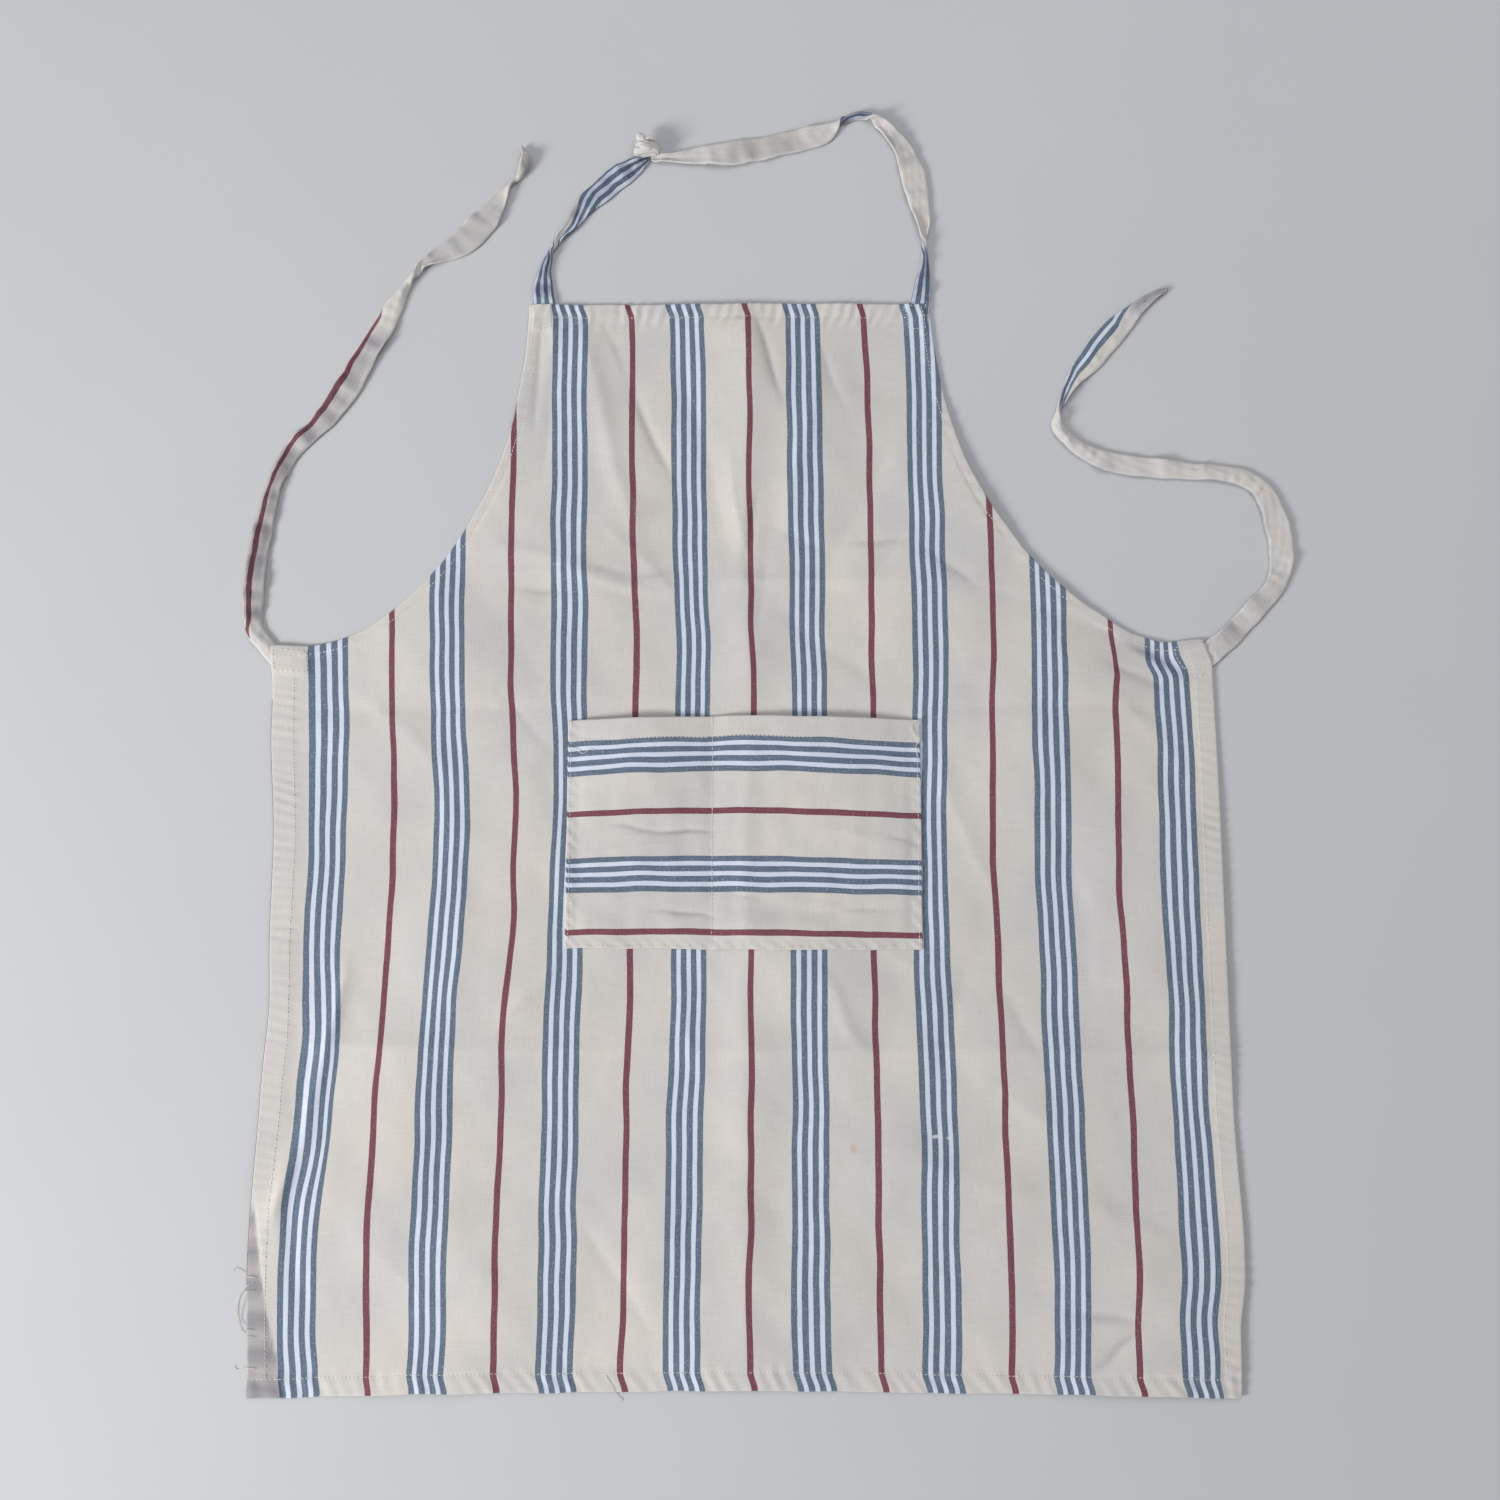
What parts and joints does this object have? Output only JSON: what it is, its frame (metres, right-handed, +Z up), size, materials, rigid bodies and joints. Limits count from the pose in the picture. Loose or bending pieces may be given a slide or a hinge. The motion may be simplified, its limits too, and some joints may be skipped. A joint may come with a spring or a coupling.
{
  "type": "butcher apron",
  "caption": "Full-length bib apron in cream cotton twill with blue and red stripes, divided front pocket, two waist ties and a knotted two-strap neck loop, laid flat.",
  "frame": {"origin": "the middle of the apron's bottom edge, on the surface that it lies on", "axes": "+Y runs up the apron from the bottom edge to the bib and the neck loop, +X to the right seen from the front, +Z up out of the apron's front"},
  "size_m": [0.8765, 1.0664, 0.0159],
  "materials": {
    "striped_twill": "matt cotton twill, cream ground with blue and white stripe groups and single red lines",
    "hem_twill": "matt cotton twill, turned and stitched",
    "pocket_twill": "matt cotton twill with the stripes running across",
    "blue_strap": "folded cotton twill cut along the blue and white stripes",
    "cream_strap": "folded cotton twill, mostly the cream ground",
    "thread": "cotton sewing thread"
  },
  "bodies": {
    "skirt": {"skirt_panel": "striped_twill", "bottom_hem": "hem_twill", "side_hem_left": "hem_twill", "side_hem_right": "hem_twill", "bottom_stitching": "thread", "side_stitching_left": "thread", "side_stitching_right": "thread", "pocket_front": "pocket_twill", "pocket_side_folds": "pocket_twill", "pocket_bottom_folds": "pocket_twill", "pocket_sewn_border": "pocket_twill", "pocket_mouth_hem": "hem_twill", "pocket_edge_stitching": "thread", "pocket_divider_stitching": "thread", "pocket_mouth_stitching": "thread", "pocket_bar_tacks": "thread", "tie_left_sewn_end": "cream_strap", "tie_right_sewn_end": "cream_strap", "tie_left_stitching": "thread", "tie_right_stitching": "thread"},
    "bib": {"bib_panel": "striped_twill", "bib_top_hem": "hem_twill", "armhole_hem_left": "hem_twill", "armhole_hem_right": "hem_twill", "bib_top_stitching": "thread", "armhole_stitching_left": "thread", "armhole_stitching_right": "thread", "neck_strap_left_sewn_end": "blue_strap", "neck_strap_right_sewn_end": "blue_strap", "neck_stitching_left": "thread", "neck_stitching_right": "thread"},
    "neck_loop": {"neck_strap_left": "blue_strap", "neck_strap_right": "cream_strap", "neck_knot": "cream_strap", "knot_tail_left": "blue_strap", "knot_tail_right": "cream_strap"},
    "tie_left": {"tie_left": "cream_strap"},
    "tie_right": {"tie_right": "cream_strap"}
  },
  "joints": [
    {"name": "bib_fold", "type": "hinge", "parent": "skirt", "child": "bib", "pos_m": [0, 0.59, 0.006], "axis": [1, 0, 0], "range_deg": [0, 150]},
    {"name": "neck_fold", "type": "hinge", "parent": "bib", "child": "neck_loop", "pos_m": [-0.012, 0.895, 0.004], "axis": [1, 0, 0], "range_deg": [0, 160]},
    {"name": "tie_left_swing", "type": "hinge", "parent": "skirt", "child": "tie_left", "pos_m": [-0.399, 0.579, 0.0008], "axis": [0, 0, 1], "range_deg": [0, 100]},
    {"name": "tie_right_swing", "type": "hinge", "parent": "skirt", "child": "tie_right", "pos_m": [0.399, 0.579, 0.0008], "axis": [0, 0, -1], "range_deg": [0, 90]}
  ]
}
